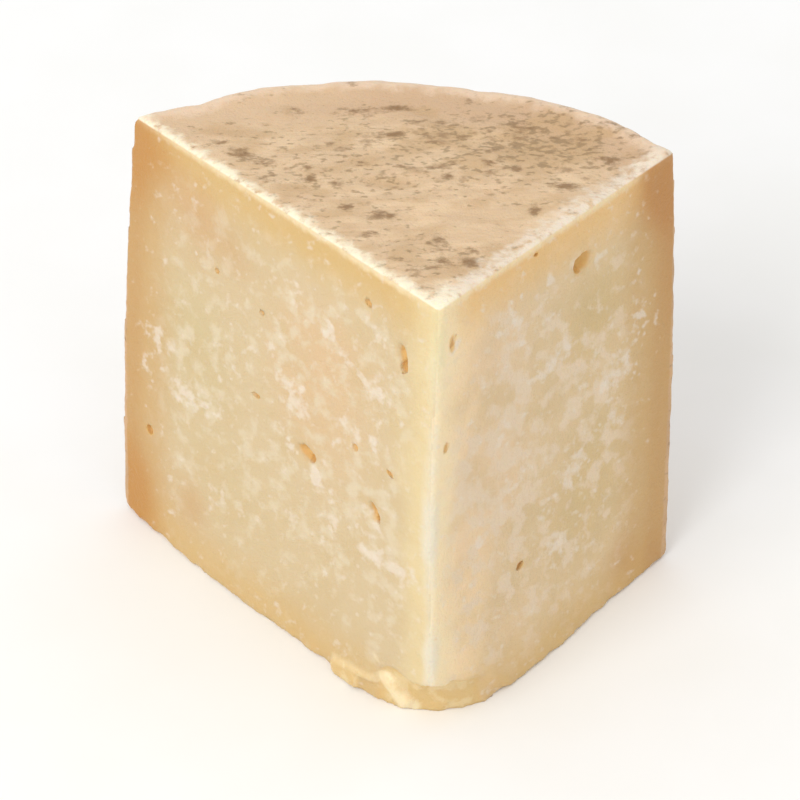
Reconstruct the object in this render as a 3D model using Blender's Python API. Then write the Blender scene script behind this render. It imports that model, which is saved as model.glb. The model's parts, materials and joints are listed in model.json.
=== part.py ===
"""A chunk of aged sheep cheese: about a quarter of a small tall wheel, cut by two flat faces.

Metres, +Z up. The chunk stands on the wheel's underside. The edge where the two cut faces meet points
along -Y, and the origin is under the middle of its bounding box. The wheel's rind covers the top, the
base and the round back. The lower end of the front edge is broken off, as aged cheese crumbles.
"""

import math

import bmesh
import bpy
from mathutils import Matrix, Vector, geometry, noise

MM = 0.001

# The chunk. Plan positions are taken from the upper end of the front edge, until the last step. The
# front edge leans to its base, and bows sideways between its ends.
WHEEL_CENTRE = Vector((-16.0, 4.1)) * MM
FRONT_EDGE_BASE = Vector((0.6, -1.6)) * MM
FRONT_EDGE_BOW = Vector((-1.1, 0.0)) * MM
FRONT_EDGE_HEIGHT = 119.0 * MM
LEFT_CORNER_HEIGHT = 111.8 * MM
RIGHT_CORNER_HEIGHT = 115.0 * MM

# Each cut face: its length and its angle from +Y in plan, at the top and at the base, how far the rind
# bulges at mid-height, and how far the face swells at its foot, with the middle of that along its length.
LEFT_CUT = {
    "side": -1,
    "top": (103.9 * MM, 40.25),
    "base": (109.6 * MM, 41.86),
    "bulge": 2.0 * MM,
    "swell": (1.5 * MM, 0.70),
}
RIGHT_CUT = {
    "side": 1,
    "top": (81.8 * MM, 38.6),
    "base": (85.6 * MM, 39.6),
    "bulge": 1.3 * MM,
    "swell": (1.2 * MM, 0.40),
}
SWELL_HALF_LENGTH = 0.42
SWELL_HEIGHT = 30.0 * MM

# Rounding of the edges.
FRONT_EDGE_RADIUS = 1.7 * MM
RIND_CORNER_RADIUS = 0.9 * MM
TOP_RIM_RADIUS = 2.8 * MM
BASE_RIM_RADIUS = 2.4 * MM
CUT_EDGE_RADIUS = 0.5 * MM
ROUNDING_STEPS = 3

# The top: a raised lip along the rind and a slight sag just inside it.
LIP_WIDTH = 6.0 * MM
LIP_HEIGHT = 0.8 * MM
TOP_SAG = 0.5 * MM

# The rind's outline is uneven: (angle round the wheel from +Y, half width, height), in degrees and
# metres, and the scallops that the mould's cloth left along it.
RIND_WAVES = ((33.0, 16.0, 1.9 * MM), (-27.0, 6.0, -2.4 * MM), (-8.0, 17.0, 0.8 * MM))
SCALLOP_HEIGHT = 0.35 * MM
SCALLOP_PITCH = 9.0 * MM

RIND_ROUGHNESS = 0.40 * MM
RIND_GRAIN = 13.0 * MM
CUT_ROUGHNESS = 0.16 * MM
CUT_GRAIN = 8.0 * MM
NOISE_OFFSET = Vector((3.7, 11.3, 5.9))

# How finely the solid is divided.
FRONT_POINTS = 4
CORNER_POINTS = 2
LEFT_POINTS = 22
RIGHT_POINTS = 18
RIND_POINTS = 36
SIDE_LEVELS = 23
LIP_RINGS = (0.96, 0.92, 0.875)
TOP_SPACING = 5.0 * MM
BASE_SPACING = 11.0 * MM

# Openings that ripening left in the paste: face, distance along the face from the front edge, height,
# tilt in the face in degrees, width, height of the opening and depth, in millimetres.
LEFT, RIGHT = "left", "right"
EYES = (
    (LEFT, 10.8, 101.0, 10.0, 2.8, 6.6, 2.6),
    (LEFT, 42.0, 56.0, 0.0, 7.4, 3.2, 2.8),
    (LEFT, 18.7, 54.6, 42.0, 2.8, 5.8, 2.8),
    (LEFT, 98.2, 28.8, 0.0, 2.4, 2.4, 2.2),
    (LEFT, 59.2, 61.7, 10.0, 3.6, 1.6, 1.6),
    (LEFT, 25.3, 68.0, 0.0, 2.2, 1.8, 1.8),
    (LEFT, 22.2, 108.0, -20.0, 2.4, 1.8, 1.6),
    (RIGHT, 49.9, 103.6, 0.0, 7.2, 4.6, 2.6),
    (RIGHT, 30.5, 32.5, 0.0, 2.3, 1.9, 2.0),
    (RIGHT, 5.5, 108.1, -35.0, 1.6, 3.2, 1.6),
)
EYE_DIVISIONS = 2
EYE_ROUGHNESS = 0.22 * MM
EYE_GRAIN = 1.8 * MM

# The break at the foot of the front edge. What is left of the foot stands on an oval, and the break's rim
# crosses both faces: (distance along them from the front edge, less than 0 on the left, height).
FOOT_CENTRE = Vector((0.5, 26.2)) * MM
FOOT_RADII = (18.6 * MM, 16.7 * MM)
BREAK_RIM = (
    (-28.0, 0.6),
    (-21.0, 8.0),
    (-14.0, 13.9),
    (-6.5, 13.8),
    (0.0, 16.2),
    (6.0, 14.0),
    (13.0, 10.6),
    (17.0, 9.8),
    (22.0, 4.4),
    (26.0, 0.5),
)
# How square the hollow is in cross-section, where 2 is a quarter of an ellipse, and how rough.
BREAK_FULLNESS = 2.4
BREAK_ROUGHNESS = 0.45 * MM
BREAK_GRAIN = 3.2 * MM
BREAK_SPACING = 1.3 * MM
BREAK_STEPS = 9
BREAK_MARGIN = 6.0 * MM

PASTE_COLOUR = (0.776, 0.591, 0.365, 1.0)
PASTE_ROUGHNESS = 0.55


def plan_direction(angle):
    """Unit vector in plan at this angle from +Y, positive towards +X, in degrees."""
    return Vector((math.sin(math.radians(angle)), math.cos(math.radians(angle))))


def plane_height(x, y):
    """Height of the plane through the top's three corners over a plan position."""
    left = plan_direction(-LEFT_CUT["top"][1]) * LEFT_CUT["top"][0]
    right = plan_direction(RIGHT_CUT["top"][1]) * RIGHT_CUT["top"][0]
    left_drop = LEFT_CORNER_HEIGHT - FRONT_EDGE_HEIGHT
    right_drop = RIGHT_CORNER_HEIGHT - FRONT_EDGE_HEIGHT
    area = left.x * right.y - left.y * right.x
    slope_x = (left_drop * right.y - left.y * right_drop) / area
    slope_y = (left.x * right_drop - left_drop * right.x) / area
    return FRONT_EDGE_HEIGHT + slope_x * x + slope_y * y


def top_height(x, y):
    """Height of the top surface: the plane, the sag inside it and the lip along the rind."""
    from_rind = WHEEL_RADIUS - (Vector((x, y)) - WHEEL_CENTRE).length
    inside = max(from_rind / LIP_WIDTH, 0.0)
    lip = LIP_HEIGHT * math.exp(-((inside - 0.45) ** 2) / 0.18)
    sag = TOP_SAG * math.exp(-((inside - 2.6) ** 2) / 2.5)
    grain = noise.noise(Vector((x, y, 0.0)) / RIND_GRAIN + NOISE_OFFSET)
    return plane_height(x, y) + lip - sag + RIND_ROUGHNESS * grain


def tip_of(level):
    """Plan position of the front edge at this fraction of the height."""
    return FRONT_EDGE_BASE * (1.0 - level) + FRONT_EDGE_BOW * math.sin(math.pi * level)


def corner_of(cut, level):
    """Plan position where a cut face meets the rind, before rounding."""
    base_length, base_angle = cut["base"]
    top_length, top_angle = cut["top"]
    length = base_length + (top_length - base_length) * level
    length += cut["bulge"] * math.sin(math.pi * level)
    angle = base_angle + (top_angle - base_angle) * level
    return FRONT_EDGE_BASE * (1.0 - level) + plan_direction(cut["side"] * angle) * length


WHEEL_RADIUS = (corner_of(LEFT_CUT, 1.0) - WHEEL_CENTRE).length


def azimuth(point):
    """Angle round the wheel from +Y, positive towards +X, in degrees."""
    arm = point - WHEEL_CENTRE
    return math.degrees(math.atan2(arm.x, arm.y))


def rind_wave(angle):
    """How far the rind stands out of the circle at this angle."""
    total = SCALLOP_HEIGHT * math.sin(math.radians(angle) * WHEEL_RADIUS / SCALLOP_PITCH * 2.0 * math.pi)
    for middle, half_width, height in RIND_WAVES:
        total += height * math.exp(-(((angle - middle) / half_width) ** 2))
    return total


def foot_swell(cut, share, height):
    """How far a cut face stands proud near its foot."""
    depth, middle = cut["swell"]
    along = (share - middle) / SWELL_HALF_LENGTH
    if abs(along) >= 1.0:
        return 0.0
    return depth * math.exp(-((height / SWELL_HEIGHT) ** 2)) * math.cos(along * math.pi / 2.0) ** 2


def face_points(cut, start, end, steps, height):
    """Points between two ends of a cut face at one height, from near the front edge to the rind."""
    direction = (end - start).normalized()
    outward = Vector((direction.y, -direction.x)) * cut["side"]
    points = []
    for step in range(1, steps):
        share = step / steps
        points.append(start.lerp(end, share) + outward * foot_swell(cut, share, height))
    return points


def fillet(corner, towards_a, towards_b, radius, steps):
    """Points of an arc that rounds a corner, from the side along towards_a to the other."""
    half = towards_a.angle(towards_b) / 2.0
    reach = radius / math.tan(half)
    centre = corner + (towards_a + towards_b).normalized() * radius / math.sin(half)
    start = corner + towards_a * reach - centre
    end = corner + towards_b * reach - centre
    sweep = start.angle_signed(end)
    points = []
    for step in range(steps + 1):
        turn = Matrix.Rotation(-sweep * step / steps, 2)
        points.append(centre + turn @ start)
    return points


def outline(level, height, rim_inset, cut_inset):
    """Plan outline at one level, anticlockwise from the front edge's right side."""
    tip = tip_of(level)
    left_corner = corner_of(LEFT_CUT, level)
    right_corner = corner_of(RIGHT_CUT, level)
    to_left = (left_corner - tip).normalized()
    to_right = (right_corner - tip).normalized()
    left_corner -= to_left * rim_inset
    right_corner -= to_right * rim_inset
    inward_left = Vector((to_left.y, -to_left.x)) * cut_inset
    inward_right = Vector((-to_right.y, to_right.x)) * cut_inset
    half = to_left.angle(to_right) / 2.0
    tip = tip + (to_left + to_right).normalized() * cut_inset / math.sin(half)
    left_corner += inward_left
    right_corner += inward_right
    left_angle, right_angle = azimuth(left_corner), azimuth(right_corner)
    left_radius = (left_corner - WHEEL_CENTRE).length
    right_radius = (right_corner - WHEEL_CENTRE).length

    front = fillet(tip, to_right, to_left, FRONT_EDGE_RADIUS, FRONT_POINTS)
    round_left = plan_direction(left_angle + 90.0)
    round_right = plan_direction(right_angle - 90.0)
    back_left = fillet(left_corner, -to_left, round_left, RIND_CORNER_RADIUS, CORNER_POINTS)
    back_right = fillet(right_corner, round_right, -to_right, RIND_CORNER_RADIUS, CORNER_POINTS)

    points = front + face_points(LEFT_CUT, front[-1], back_left[0], LEFT_POINTS, height) + back_left
    start, end = azimuth(back_left[-1]), azimuth(back_right[0])
    for step in range(1, RIND_POINTS):
        share = step / RIND_POINTS
        angle = start + (end - start) * share
        radius = left_radius + (right_radius - left_radius) * share
        ends = min(share, 1.0 - share) * RIND_POINTS
        radius += rind_wave(angle) * min(ends / 4.0, 1.0)
        points.append(WHEEL_CENTRE + plan_direction(angle) * radius)
    right_face = face_points(RIGHT_CUT, front[0], back_right[-1], RIGHT_POINTS, height)
    return points + back_right + right_face[::-1]


def section_levels():
    """Each level as (share of the height, offset of the height, rim inset, cut edge inset)."""
    levels = []
    for step in range(ROUNDING_STEPS):
        turn = math.radians(90.0 * (1.0 - step / ROUNDING_STEPS))
        rise = BASE_RIM_RADIUS * (1.0 - math.sin(turn))
        inset = BASE_RIM_RADIUS * (1.0 - math.cos(turn))
        levels.append((0.0, rise, inset, CUT_EDGE_RADIUS if step == 0 else 0.0))
    for step in range(SIDE_LEVELS + 1):
        share = step / SIDE_LEVELS
        levels.append((share, BASE_RIM_RADIUS * (1.0 - share) - TOP_RIM_RADIUS * share, 0.0, 0.0))
    for step in range(1, ROUNDING_STEPS + 1):
        turn = math.radians(90.0 * step / ROUNDING_STEPS)
        drop = TOP_RIM_RADIUS * (1.0 - math.sin(turn))
        inset = TOP_RIM_RADIUS * (1.0 - math.cos(turn))
        levels.append((1.0, -drop, inset, CUT_EDGE_RADIUS if step == ROUNDING_STEPS else 0.0))
    return levels


def roughened(point, outward, is_rind):
    """The point moved a little along its outward direction, by the grain of rind or paste."""
    size, grain = (RIND_ROUGHNESS, RIND_GRAIN) if is_rind else (CUT_ROUGHNESS, CUT_GRAIN)
    return point + outward * size * noise.noise(point / grain + NOISE_OFFSET)


def ring_points():
    """The side's rings from the base to the top, each a list of points in space."""
    rings = []
    for share, offset, rim_inset, cut_inset in section_levels():
        height = share * FRONT_EDGE_HEIGHT + offset
        level = min(max(height / FRONT_EDGE_HEIGHT, 0.0), 1.0)
        plan = outline(level, height, rim_inset, cut_inset)
        count = len(plan)
        rind_from = FRONT_POINTS + LEFT_POINTS + CORNER_POINTS
        rind_to = rind_from + RIND_POINTS
        ring = []
        for index, place in enumerate(plan):
            along = plan[(index + 1) % count] - plan[index - 1]
            outward = Vector((-along.y, along.x, 0.0)).normalized()
            z = share * top_height(place.x, place.y) + offset
            point = Vector((place.x, place.y, z))
            if cut_inset == 0.0:
                point = roughened(point, outward, rind_from <= index <= rind_to)
            ring.append(point)
        rings.append(ring)
    return rings


def drawn_in(edge, share):
    """A ring of the top that follows its edge at this share of the way out from the middle."""
    middle = sum(edge, Vector((0.0, 0.0, 0.0))) / len(edge)
    ring = []
    for point in edge:
        place = middle.lerp(point, share)
        ring.append(Vector((place.x, place.y, top_height(place.x, place.y))))
    return ring


def is_inside(point, loop):
    """Whether a plan position lies inside a closed loop of plan positions."""
    inside = False
    for a, b in zip(loop, loop[1:] + loop[:1]):
        if (a.y > point.y) != (b.y > point.y):
            inside ^= point.x < a.x + (b.x - a.x) * (point.y - a.y) / (b.y - a.y)
    return inside


def inner_points(loop, spacing):
    """Plan positions on a triangular grid inside a loop, clear of its own points."""
    low = Vector((min(p.x for p in loop), min(p.y for p in loop)))
    high = Vector((max(p.x for p in loop), max(p.y for p in loop)))
    row_step = spacing * math.sqrt(0.75)
    points = []
    for row in range(int((high.y - low.y) / row_step) + 1):
        for column in range(int((high.x - low.x) / spacing) + 1):
            shift = 0.5 * (row % 2)
            point = low + Vector(((column + shift) * spacing, row * row_step))
            if is_inside(point, loop) and min((point - p).length for p in loop) > 0.6 * spacing:
                points.append(point)
    return points


def fill_loop(shape, ring, spacing, height_at):
    """Even triangles that close a ring of vertices, at the heights that height_at gives."""
    loop = [vert.co.xy for vert in ring]
    extra = inner_points(loop, spacing)
    sides = [(index, (index + 1) % len(loop)) for index in range(len(loop))]
    result = geometry.delaunay_2d_cdt(loop + extra, sides, [], 1, 1e-7)
    verts = ring + [shape.verts.new((p.x, p.y, height_at(p.x, p.y))) for p in extra]
    for triangle in result[2]:
        shape.faces.new([verts[index] for index in triangle])


def join_rings(shape, lower, upper):
    """Faces between two rings of as many points."""
    count = len(lower)
    for index in range(count):
        after = (index + 1) % count
        shape.faces.new((lower[index], upper[index], upper[after], lower[after]))


def finish_mesh(shape, name):
    """A mesh with its faces pointing out, from a bmesh that is freed."""
    bmesh.ops.recalc_face_normals(shape, faces=shape.faces)
    mesh = bpy.data.meshes.new(name)
    shape.to_mesh(mesh)
    shape.free()
    mesh.shade_smooth()
    mesh.set_sharp_from_angle(angle=math.radians(40.0))
    return mesh


def make_chunk():
    """The uncut solid: rings up the sides, a flat base and the uneven top."""
    rings = ring_points()
    rings += [drawn_in(rings[-1], share) for share in LIP_RINGS]
    shape = bmesh.new()
    loops = [[shape.verts.new(point) for point in ring] for ring in rings]
    for lower, upper in zip(loops, loops[1:]):
        join_rings(shape, lower, upper)
    fill_loop(shape, loops[-1], TOP_SPACING, top_height)
    fill_loop(shape, loops[0], BASE_SPACING, lambda x, y: 0.0)
    return bpy.data.objects.new("cheese_chunk", finish_mesh(shape, "cheese_chunk"))


def face_place(cut, along, height):
    """A point of a cut face, and the face's outward direction there."""
    level = height / FRONT_EDGE_HEIGHT
    tip = tip_of(level)
    direction = (corner_of(cut, level) - tip).normalized()
    place = tip + direction * along
    outward = Vector((direction.y, -direction.x)) * cut["side"]
    return Vector((place.x, place.y, height)), Vector((outward.x, outward.y, 0.0))


def finish_cutter(shape, name):
    """An object that only takes away, from a bmesh that is freed."""
    hollow = bpy.data.objects.new(name, finish_mesh(shape, name))
    hollow.hide_render = True
    hollow.display_type = "WIRE"
    return hollow


def make_eye(name, numbers):
    """An uneven opening in a cut face, as the solid that it takes away."""
    side, along, height, tilt, width, tall, depth = numbers
    place, outward = face_place(LEFT_CUT if side == LEFT else RIGHT_CUT, along * MM, height * MM)
    shape = bmesh.new()
    bmesh.ops.create_icosphere(shape, subdivisions=EYE_DIVISIONS, radius=1.0)
    stretch = Matrix.Diagonal((width * MM / 2.0, depth * MM, tall * MM / 2.0, 1.0))
    tip = Matrix.Rotation(math.radians(tilt), 4, "Y")
    turn = outward.to_track_quat("Y", "Z").to_matrix().to_4x4()
    bmesh.ops.transform(shape, matrix=Matrix.Translation(place) @ turn @ tip @ stretch, verts=shape.verts)
    shape.normal_update()
    moves = [
        vert.normal * EYE_ROUGHNESS * noise.noise(vert.co / EYE_GRAIN + NOISE_OFFSET) for vert in shape.verts
    ]
    for vert, move in zip(shape.verts, moves):
        vert.co += move
    return finish_cutter(shape, name)


def rim_height(along):
    """Height of the break's rim at this distance along the faces, between its given points."""
    for (start, low), (end, high) in zip(BREAK_RIM, BREAK_RIM[1:]):
        if along <= end * MM:
            share = (along / MM - start) / (end - start)
            share = (1.0 - math.cos(math.pi * share)) / 2.0
            return (low + (high - low) * share) * MM
    return BREAK_RIM[-1][1] * MM


def break_section(along):
    """The break's cross-section at this distance along the faces, from under the foot round to outside."""
    height = rim_height(along)
    rim, _ = face_place(LEFT_CUT if along < 0.0 else RIGHT_CUT, abs(along), height)
    arm = rim.xy - FOOT_CENTRE
    ray = arm.normalized()
    foot = 1.0 / math.hypot(ray.x / FOOT_RADII[0], ray.y / FOOT_RADII[1])
    section = [(foot, -BREAK_MARGIN)]
    for step in range(BREAK_STEPS + 1):
        turn = math.radians(90.0 * step / BREAK_STEPS)
        rise = math.sin(turn) ** (2.0 / BREAK_FULLNESS)
        run = 1.0 - max(math.cos(turn), 0.0) ** (2.0 / BREAK_FULLNESS)
        section.append((foot + (arm.length - foot) * run, height * rise))
    section.append((arm.length + BREAK_MARGIN, height))
    section.append((arm.length + BREAK_MARGIN, -BREAK_MARGIN))
    points = []
    for reach, z in section:
        place = FOOT_CENTRE + ray * reach
        point = Vector((place.x, place.y, z))
        grain = noise.noise(point / BREAK_GRAIN + NOISE_OFFSET)
        points.append(point + Vector((ray.x, ray.y, 0.0)) * BREAK_ROUGHNESS * grain)
    return points


def make_break():
    """The solid that broke off under the front edge: its sections, joined and closed at both ends."""
    start, end = BREAK_RIM[0][0] * MM, BREAK_RIM[-1][0] * MM
    count = round((end - start) / BREAK_SPACING)
    shape = bmesh.new()
    loops = []
    for step in range(count + 1):
        section = break_section(start + (end - start) * step / count)
        loops.append([shape.verts.new(point) for point in section])
    for loop, following in zip(loops, loops[1:]):
        join_rings(shape, loop, following)
    shape.faces.new(loops[0])
    shape.faces.new(loops[-1])
    bmesh.ops.triangulate(shape, faces=shape.faces)
    return finish_cutter(shape, "foot_break")


def take_away(target, cutter, name):
    """Adds an exact Boolean difference that stays on the target."""
    modifier = target.modifiers.new(name, "BOOLEAN")
    modifier.operation = "DIFFERENCE"
    modifier.solver = "EXACT"
    if isinstance(cutter, bpy.types.Collection):
        modifier.operand_type = "COLLECTION"
        modifier.collection = cutter
    else:
        modifier.object = cutter


def paste_material():
    """Plain colour of the paste."""
    material = bpy.data.materials.new("aged_cheese")
    material.use_nodes = True
    shader = material.node_tree.nodes["Principled BSDF"]
    shader.inputs["Base Color"].default_value = PASTE_COLOUR
    shader.inputs["Roughness"].default_value = PASTE_ROUGHNESS
    shader.inputs["Metallic"].default_value = 0.0
    return material


def centred(chunk, helpers):
    """Moves everything so that the origin is under the middle of the chunk's box."""
    lows = [min(v.co[axis] for v in chunk.data.vertices) for axis in range(2)]
    highs = [max(v.co[axis] for v in chunk.data.vertices) for axis in range(2)]
    shift = Matrix.Translation((-(lows[0] + highs[0]) / 2.0, -(lows[1] + highs[1]) / 2.0, 0.0))
    for obj in [chunk, *helpers]:
        obj.data.transform(shift)


def main():
    for obj in list(bpy.data.objects):
        bpy.data.objects.remove(obj, do_unlink=True)
    chunk = make_chunk()
    chunk.data.materials.append(paste_material())
    bpy.context.scene.collection.objects.link(chunk)

    eyes = bpy.data.collections.new("eyes")
    eyes.hide_render = True
    bpy.context.scene.collection.children.link(eyes)
    for number, numbers in enumerate(EYES, start=1):
        eyes.objects.link(make_eye(f"eye_{number:02d}", numbers))
    foot = make_break()
    bpy.context.scene.collection.objects.link(foot)
    take_away(chunk, foot, "foot_break")
    take_away(chunk, eyes, "eyes")
    centred(chunk, [*eyes.objects, foot])


main()
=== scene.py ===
"""Looks of a chunk of aged sheep cheese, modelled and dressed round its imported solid.

The chunk is about a quarter of a small tall wheel. Two flat cut faces meet in a front edge, and natural
rind covers the top, the base and the round back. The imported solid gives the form; here it gets its small
pits, the flakes of its broken foot, the crumbly grain of the paste and the grain of the rind, and then
one material for the cheese, which reads maps of distances that are stored on the mesh.

Sizes are in millimetres until they reach the mesh. The frame is the solid's own, +Z up.
"""

import json
import logging
import math
from dataclasses import dataclass
from enum import Enum

import bpy
import numpy as np
from mathutils import Euler, Matrix, Vector

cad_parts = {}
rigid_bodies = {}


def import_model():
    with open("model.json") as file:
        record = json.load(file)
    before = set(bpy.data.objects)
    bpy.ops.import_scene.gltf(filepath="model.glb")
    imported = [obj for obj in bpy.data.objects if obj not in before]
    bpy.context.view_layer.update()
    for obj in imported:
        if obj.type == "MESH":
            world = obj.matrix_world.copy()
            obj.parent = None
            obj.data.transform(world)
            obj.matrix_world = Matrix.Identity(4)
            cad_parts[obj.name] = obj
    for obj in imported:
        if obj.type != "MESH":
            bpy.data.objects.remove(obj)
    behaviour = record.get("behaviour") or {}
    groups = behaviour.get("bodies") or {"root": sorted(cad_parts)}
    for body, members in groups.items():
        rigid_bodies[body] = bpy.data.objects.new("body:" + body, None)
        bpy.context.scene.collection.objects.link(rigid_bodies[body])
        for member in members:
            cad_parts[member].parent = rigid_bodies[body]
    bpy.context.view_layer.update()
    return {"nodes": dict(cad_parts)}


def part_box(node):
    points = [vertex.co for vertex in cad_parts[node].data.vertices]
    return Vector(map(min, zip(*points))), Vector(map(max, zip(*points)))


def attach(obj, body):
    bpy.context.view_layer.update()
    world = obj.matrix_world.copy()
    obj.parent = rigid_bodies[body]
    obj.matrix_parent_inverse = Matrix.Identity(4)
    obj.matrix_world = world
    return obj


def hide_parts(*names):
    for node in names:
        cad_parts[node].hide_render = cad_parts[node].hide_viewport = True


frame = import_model()

log = logging.getLogger("cheese")

MM = 0.001

# Socket numbers of a colour Mix node, whose names repeat.
FACTOR, BELOW, ABOVE, MIXED = 0, 6, 7, 2

# How far the curd leans from upright, in degrees, as the wheel was pressed.
CURD_LEAN = 53.0

# What stretches a noise less its middle to about 1 to either side, and a noise's colours to about 1.
NOISE_SPAN, RIPPLE_SPAN = 4.0, 2.0

# The grain, in millimetres, of the noise that makes flecks ragged.
RIPPLE_GRAIN = 1.0


class Side(Enum):
    """The two cut faces, seen from in front. The value is the sign of their side."""

    LEFT = -1
    RIGHT = 1


class Map(Enum):
    """What is stored on each point of the mesh. Distances are in millimetres."""

    PASTE = "paste"  # how much nearer a cut face is than the rind
    FRONT = "from_front"  # along the cut faces from the front edge, less than 0 on the left
    EDGE = "from_edge"  # along the cut faces from the front edge, on either side
    SIDE = "from_side"  # in from the round rind
    TOP = "from_top"  # under the top rind
    BASE = "from_base"  # over the base
    LEFT_CUT = "from_left_cut"  # from the left cut face
    RIGHT_CUT = "from_right_cut"  # from the right cut face
    HOLLOW = "hollow"  # in from the nearer cut face
    FOOT = "foot"  # 1 on the broken foot
    # The flakes' paleness is partly their own, partly a painted highlight where their ridges catch the
    # light.
    PALE = "pale"  # how pale the flakes of the foot are
    CURD = "curd"  # more or fewer white flecks, and fewer under the round rind
    BLOTCH = "blotch"  # more or fewer small dark blotches on the rind
    STAIN = "stain"  # the larger stains of the rind
    # The amber round the openings is partly a painted glow of light scattered through the paste.
    AMBER = "amber"  # the amber paste round the openings
    WARMTH = "warmth"  # rosier or greener paste
    TOAST = "toast"  # browner paste, where the rind's corners dried out
    MOTTLE = "mottle"  # more or fewer pale clouds


def linear(colour: str) -> tuple[float, float, float, float]:
    """Turns an sRGB hex colour into linear light.

    Args:
        colour: The colour as "#RRGGBB".

    Returns:
        Linear red, green, blue and full alpha.
    """
    values = [int(colour[start : start + 2], 16) / 255.0 for start in (1, 3, 5)]
    light = [v / 12.92 if v <= 0.04045 else ((v + 0.055) / 1.055) ** 2.4 for v in values]
    return (*light, 1.0)


@dataclass(frozen=True)
class Rise:
    """A smooth rise from 0, at the low value and under it, to 1, at the high value and over it."""

    low: float
    high: float

    def of(self, values: np.ndarray) -> np.ndarray:
        """How far each value has risen."""
        share = np.clip((values - self.low) / (self.high - self.low), 0.0, 1.0)
        return share * share * (3.0 - 2.0 * share)


def select_only(piece: bpy.types.Object) -> None:
    """Selects one object, makes it active and deselects everything else.

    Args:
        piece: The object.
    """
    bpy.ops.object.select_all(action="DESELECT")
    piece.select_set(True)
    bpy.context.view_layer.objects.active = piece


def settle(piece: bpy.types.Object) -> None:
    """Puts an object's place, turn and scale into its mesh, so that it sits at the origin."""
    select_only(piece)
    bpy.ops.object.transform_apply(location=True, rotation=True, scale=True)


def apply_modifier(piece: bpy.types.Object, kind: str, **settings: object) -> None:
    """Adds one modifier to a piece and applies it.

    Args:
        piece: The object that is changed.
        kind: Blender's name for the modifier's type.
        settings: The modifier's settings.
    """
    select_only(piece)
    modifier = piece.modifiers.new(kind.lower(), kind)
    for name, value in settings.items():
        setattr(modifier, name, value)
    bpy.ops.object.modifier_apply(modifier=modifier.name)


# --------------------------------------------------------------------------- the wheel and its cuts


@dataclass(frozen=True)
class Wheel:
    """Where the chunk lies in its wheel: the same driving sizes as the solid's.

    Plan positions are in the solid's frame. The front edge leans towards its base and bows sideways.
    """

    tip: tuple[float, float] = (8.597, -49.345)
    centre: tuple[float, float] = (-7.403, -45.245)
    base_lean: tuple[float, float] = (0.6, -1.6)
    bow: float = -1.1
    height: float = 119.0
    left_height: float = 111.8
    right_height: float = 115.0

    def level(self, points: np.ndarray) -> np.ndarray:
        """Share of the height at which each point lies."""
        return np.clip(points[:, 2] / self.height, 0.0, 1.0)

    def tips(self, level: np.ndarray) -> np.ndarray:
        """Plan positions of the front edge at these shares of the height.

        Args:
            level: Shares of the height.

        Returns:
            One plan position for each share.
        """
        lean = np.outer(1.0 - level, self.base_lean)
        lean[:, 0] += self.bow * np.sin(np.pi * level)
        return np.array(self.tip) + lean

    def top_height(self, points: np.ndarray) -> np.ndarray:
        """Height of the plane through the top's three corners over each point.

        Args:
            points: Positions in millimetres.

        Returns:
            One height for each point.
        """
        left, right = (CUTS[side].corner(self, np.ones(1))[0] for side in Side)
        corners = np.array([[*self.tip, 1.0], [*left, 1.0], [*right, 1.0]])
        slope = np.linalg.solve(corners, [self.height, self.left_height, self.right_height])
        return points[:, :2] @ slope[:2] + slope[2]


@dataclass(frozen=True)
class CutFace:
    """A cut face: its length and its angle from +Y at the top and base, and the rind's bulge."""

    side: Side
    top_length: float
    base_length: float
    top_angle: float
    base_angle: float
    bulge: float

    def corner(self, wheel: Wheel, level: np.ndarray) -> np.ndarray:
        """Plan positions where the face meets the round rind.

        Args:
            wheel: The wheel that the face cuts.
            level: Shares of the height.

        Returns:
            One plan position for each level.
        """
        length = self.base_length + (self.top_length - self.base_length) * level
        length = length + self.bulge * np.sin(np.pi * level)
        angle = np.radians(self.base_angle + (self.top_angle - self.base_angle) * level)
        run = np.stack([self.side.value * np.sin(angle), np.cos(angle)], 1) * length[:, None]
        return np.array(wheel.tip) + np.outer(1.0 - level, wheel.base_lean) + run

    def measure(self, wheel: Wheel, points: np.ndarray) -> tuple[np.ndarray, ...]:
        """Measures points against the face.

        Args:
            wheel: The wheel that the face cuts.
            points: Positions in millimetres.

        Returns:
            The distance along the face from the front edge, the distance in from the face, the
            distance left to the round rind, and the face's outward directions in plan.
        """
        level = wheel.level(points)
        tips = wheel.tips(level)
        run = self.corner(wheel, level) - tips
        length = np.linalg.norm(run, axis=1)
        run = run / length[:, None]
        outward = np.stack([run[:, 1], -run[:, 0]], 1) * self.side.value
        arm = points[:, :2] - tips
        along = (arm * run).sum(1)
        return along, -(arm * outward).sum(1), length - along, outward

    def place(self, wheel: Wheel, along: float, height: float) -> tuple[Vector, Vector]:
        """A point of the face and the face's outward direction there, in millimetres.

        Args:
            wheel: The wheel that the face cuts.
            along: How far along the face the point lies.
            height: Its height.

        Returns:
            The point and the direction.
        """
        level = np.array([height / wheel.height])
        tip = wheel.tips(level)[0]
        run = self.corner(wheel, level)[0] - tip
        run = run / np.linalg.norm(run)
        spot = tip + run * along
        outward = Vector((run[1], -run[0], 0.0)) * self.side.value
        return Vector((spot[0], spot[1], height)), outward


CUTS = {
    Side.LEFT: CutFace(Side.LEFT, 103.9, 109.6, 40.25, 41.86, 2.0),
    Side.RIGHT: CutFace(Side.RIGHT, 81.8, 85.6, 38.6, 39.6, 1.3),
}


# --------------------------------------------------------------------------- what lies on the faces


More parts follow.
